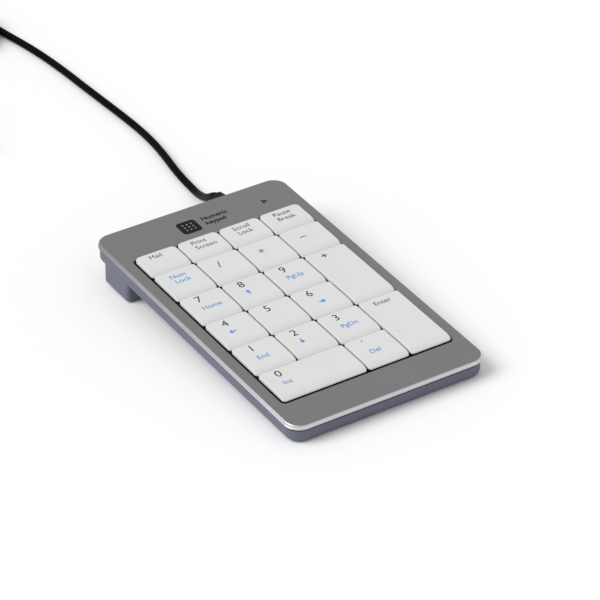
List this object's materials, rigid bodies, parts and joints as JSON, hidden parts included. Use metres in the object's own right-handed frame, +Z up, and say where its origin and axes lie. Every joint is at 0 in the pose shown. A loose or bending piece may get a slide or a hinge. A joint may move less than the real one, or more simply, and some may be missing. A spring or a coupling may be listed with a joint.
{
  "type": "numeric keypad",
  "caption": "Low corded numeric keypad with sprung keycaps in a tilted two-shell case, over a dome sheet, with a coiled USB lead.",
  "frame": {"origin": "middle of the case's footprint, on the surface that the feet stand on", "axes": "+X to the right across the keys, +Y from the user to the back edge where the lead leaves, +Z up"},
  "size_m": [0.0892, 0.3966, 0.0178],
  "materials": {
    "cover_grey": "satin silver-grey lacquer with a brighter rounded edge",
    "base_blue_grey": "fine matt texture, slate blue-grey",
    "frame_dark": "moulded, plain",
    "dome_silicone": "translucent milky silicone",
    "film_printed": "polyester film with printed silver tracks",
    "film_clear": "clear polyester film",
    "plate_steel": "zinc plated sheet",
    "screw_steel": "zinc plated",
    "board_green": "green solder mask on glass fibre",
    "chip_black": "moulded epoxy package",
    "can_metal": "drawn metal can",
    "capacitor_sleeve": "shrink sleeve",
    "connector_nylon": "natural nylon",
    "wire_insulation": "thin insulation",
    "clamp_nylon": "natural nylon",
    "led_epoxy": "clear epoxy",
    "lens_smoked": "smoked acrylic",
    "badge_black": "printed plastic inlay",
    "foot_rubber": "matt rubber",
    "relief_rubber": "moulded soft PVC",
    "lead_jacket": "satin soft PVC",
    "tie_black": "woven hook-and-loop strip",
    "plug_black": "moulded soft PVC",
    "plug_steel": "nickel plated steel",
    "tongue_white": "glass-filled nylon",
    "wire_steel": "spring steel wire",
    "key_white": "fine satin texture with printed legends"
  },
  "bodies": {
    "housing": {"top_cover": "cover_grey", "bottom_shell": "base_blue_grey", "key_frame": "frame_dark", "dome_sheet": "dome_silicone", "membrane_upper": "film_printed", "membrane_spacer": "film_clear", "membrane_lower": "film_printed", "support_plate": "plate_steel", "plate_screws": "screw_steel", "case_screws": "screw_steel", "controller_board": "board_green", "controller_chip": "chip_black", "crystal": "can_metal", "capacitor": "capacitor_sleeve", "lead_connector": "connector_nylon", "inner_wires": "wire_insulation", "membrane_clamp": "clamp_nylon", "board_screws": "screw_steel", "status_led": "led_epoxy", "light_pipe": "lens_smoked", "badge": "badge_black", "front_feet": "foot_rubber", "rear_feet": "foot_rubber", "strain_relief": "relief_rubber", "lead": "lead_jacket", "lead_coil": "lead_jacket", "coil_tie": "tie_black", "lead_tail": "lead_jacket", "usb_grip": "plug_black", "usb_shell": "plug_steel", "usb_tongue": "tongue_white"},
    "key_mail": {"keycap_mail": "key_white"},
    "key_print": {"keycap_print": "key_white"},
    "key_scroll": {"keycap_scroll": "key_white"},
    "key_pause": {"keycap_pause": "key_white"},
    "key_numlock": {"keycap_numlock": "key_white"},
    "key_slash": {"keycap_slash": "key_white"},
    "key_star": {"keycap_star": "key_white"},
    "key_minus": {"keycap_minus": "key_white"},
    "key_7": {"keycap_7": "key_white"},
    "key_8": {"keycap_8": "key_white"},
    "key_9": {"keycap_9": "key_white"},
    "key_plus": {"keycap_plus": "key_white"},
    "key_4": {"keycap_4": "key_white"},
    "key_5": {"keycap_5": "key_white"},
    "key_6": {"keycap_6": "key_white"},
    "key_1": {"keycap_1": "key_white"},
    "key_2": {"keycap_2": "key_white"},
    "key_3": {"keycap_3": "key_white"},
    "key_enter": {"keycap_enter": "key_white"},
    "key_0": {"keycap_0": "key_white"},
    "key_dot": {"keycap_dot": "key_white"},
    "wire_plus": {"wire_plus": "wire_steel"},
    "wire_enter": {"wire_enter": "wire_steel"},
    "wire_zero": {"wire_zero": "wire_steel"}
  },
  "joints": [
    {"name": "press_mail", "type": "slide", "parent": "housing", "child": "key_mail", "axis": [0, 0.0645, -0.9979], "range_m": [0, 0.002], "stiffness_N_per_m": 150, "springref_m": -0.002, "deforming": ["dome_sheet"]},
    {"name": "press_print", "type": "slide", "parent": "housing", "child": "key_print", "axis": [0, 0.0645, -0.9979], "range_m": [0, 0.002], "stiffness_N_per_m": 150, "springref_m": -0.002, "deforming": ["dome_sheet"]},
    {"name": "press_scroll", "type": "slide", "parent": "housing", "child": "key_scroll", "axis": [0, 0.0645, -0.9979], "range_m": [0, 0.002], "stiffness_N_per_m": 150, "springref_m": -0.002, "deforming": ["dome_sheet"]},
    {"name": "press_pause", "type": "slide", "parent": "housing", "child": "key_pause", "axis": [0, 0.0645, -0.9979], "range_m": [0, 0.002], "stiffness_N_per_m": 150, "springref_m": -0.002, "deforming": ["dome_sheet"]},
    {"name": "press_numlock", "type": "slide", "parent": "housing", "child": "key_numlock", "axis": [0, 0.0645, -0.9979], "range_m": [0, 0.002], "stiffness_N_per_m": 150, "springref_m": -0.002, "deforming": ["dome_sheet"]},
    {"name": "press_slash", "type": "slide", "parent": "housing", "child": "key_slash", "axis": [0, 0.0645, -0.9979], "range_m": [0, 0.002], "stiffness_N_per_m": 150, "springref_m": -0.002, "deforming": ["dome_sheet"]},
    {"name": "press_star", "type": "slide", "parent": "housing", "child": "key_star", "axis": [0, 0.0645, -0.9979], "range_m": [0, 0.002], "stiffness_N_per_m": 150, "springref_m": -0.002, "deforming": ["dome_sheet"]},
    {"name": "press_minus", "type": "slide", "parent": "housing", "child": "key_minus", "axis": [0, 0.0645, -0.9979], "range_m": [0, 0.002], "stiffness_N_per_m": 150, "springref_m": -0.002, "deforming": ["dome_sheet"]},
    {"name": "press_7", "type": "slide", "parent": "housing", "child": "key_7", "axis": [0, 0.0645, -0.9979], "range_m": [0, 0.002], "stiffness_N_per_m": 150, "springref_m": -0.002, "deforming": ["dome_sheet"]},
    {"name": "press_8", "type": "slide", "parent": "housing", "child": "key_8", "axis": [0, 0.0645, -0.9979], "range_m": [0, 0.002], "stiffness_N_per_m": 150, "springref_m": -0.002, "deforming": ["dome_sheet"]},
    {"name": "press_9", "type": "slide", "parent": "housing", "child": "key_9", "axis": [0, 0.0645, -0.9979], "range_m": [0, 0.002], "stiffness_N_per_m": 150, "springref_m": -0.002, "deforming": ["dome_sheet"]},
    {"name": "press_plus", "type": "slide", "parent": "housing", "child": "key_plus", "axis": [0, 0.0645, -0.9979], "range_m": [0, 0.002], "stiffness_N_per_m": 150, "springref_m": -0.002, "deforming": ["dome_sheet"]},
    {"name": "press_4", "type": "slide", "parent": "housing", "child": "key_4", "axis": [0, 0.0645, -0.9979], "range_m": [0, 0.002], "stiffness_N_per_m": 150, "springref_m": -0.002, "deforming": ["dome_sheet"]},
    {"name": "press_5", "type": "slide", "parent": "housing", "child": "key_5", "axis": [0, 0.0645, -0.9979], "range_m": [0, 0.002], "stiffness_N_per_m": 150, "springref_m": -0.002, "deforming": ["dome_sheet"]},
    {"name": "press_6", "type": "slide", "parent": "housing", "child": "key_6", "axis": [0, 0.0645, -0.9979], "range_m": [0, 0.002], "stiffness_N_per_m": 150, "springref_m": -0.002, "deforming": ["dome_sheet"]},
    {"name": "press_1", "type": "slide", "parent": "housing", "child": "key_1", "axis": [0, 0.0645, -0.9979], "range_m": [0, 0.002], "stiffness_N_per_m": 150, "springref_m": -0.002, "deforming": ["dome_sheet"]},
    {"name": "press_2", "type": "slide", "parent": "housing", "child": "key_2", "axis": [0, 0.0645, -0.9979], "range_m": [0, 0.002], "stiffness_N_per_m": 150, "springref_m": -0.002, "deforming": ["dome_sheet"]},
    {"name": "press_3", "type": "slide", "parent": "housing", "child": "key_3", "axis": [0, 0.0645, -0.9979], "range_m": [0, 0.002], "stiffness_N_per_m": 150, "springref_m": -0.002, "deforming": ["dome_sheet"]},
    {"name": "press_enter", "type": "slide", "parent": "housing", "child": "key_enter", "axis": [0, 0.0645, -0.9979], "range_m": [0, 0.002], "stiffness_N_per_m": 150, "springref_m": -0.002, "deforming": ["dome_sheet"]},
    {"name": "press_0", "type": "slide", "parent": "housing", "child": "key_0", "axis": [0, 0.0645, -0.9979], "range_m": [0, 0.002], "stiffness_N_per_m": 150, "springref_m": -0.002, "deforming": ["dome_sheet"]},
    {"name": "press_dot", "type": "slide", "parent": "housing", "child": "key_dot", "axis": [0, 0.0645, -0.9979], "range_m": [0, 0.002], "stiffness_N_per_m": 150, "springref_m": -0.002, "deforming": ["dome_sheet"]},
    {"name": "rock_wire_plus", "type": "hinge", "parent": "housing", "child": "wire_plus", "pos_m": [0.0351, -0.00134, 0.01031], "axis": [0, -0.9979, -0.0645], "range_deg": [0, 14.6]},
    {"name": "rock_wire_enter", "type": "hinge", "parent": "housing", "child": "wire_enter", "pos_m": [0.0351, -0.03926, 0.00785], "axis": [0, -0.9979, -0.0645], "range_deg": [0, 14.6]},
    {"name": "rock_wire_zero", "type": "hinge", "parent": "housing", "child": "wire_zero", "pos_m": [-0.019, -0.04215, 0.00767], "axis": [1, 0, 0], "range_deg": [0, 14.6]}
  ],
  "couplings": [
    {"joint": "rock_wire_plus", "follows": "press_plus", "rad_per_m": 125},
    {"joint": "rock_wire_enter", "follows": "press_enter", "rad_per_m": 125},
    {"joint": "rock_wire_zero", "follows": "press_0", "rad_per_m": 125}
  ]
}
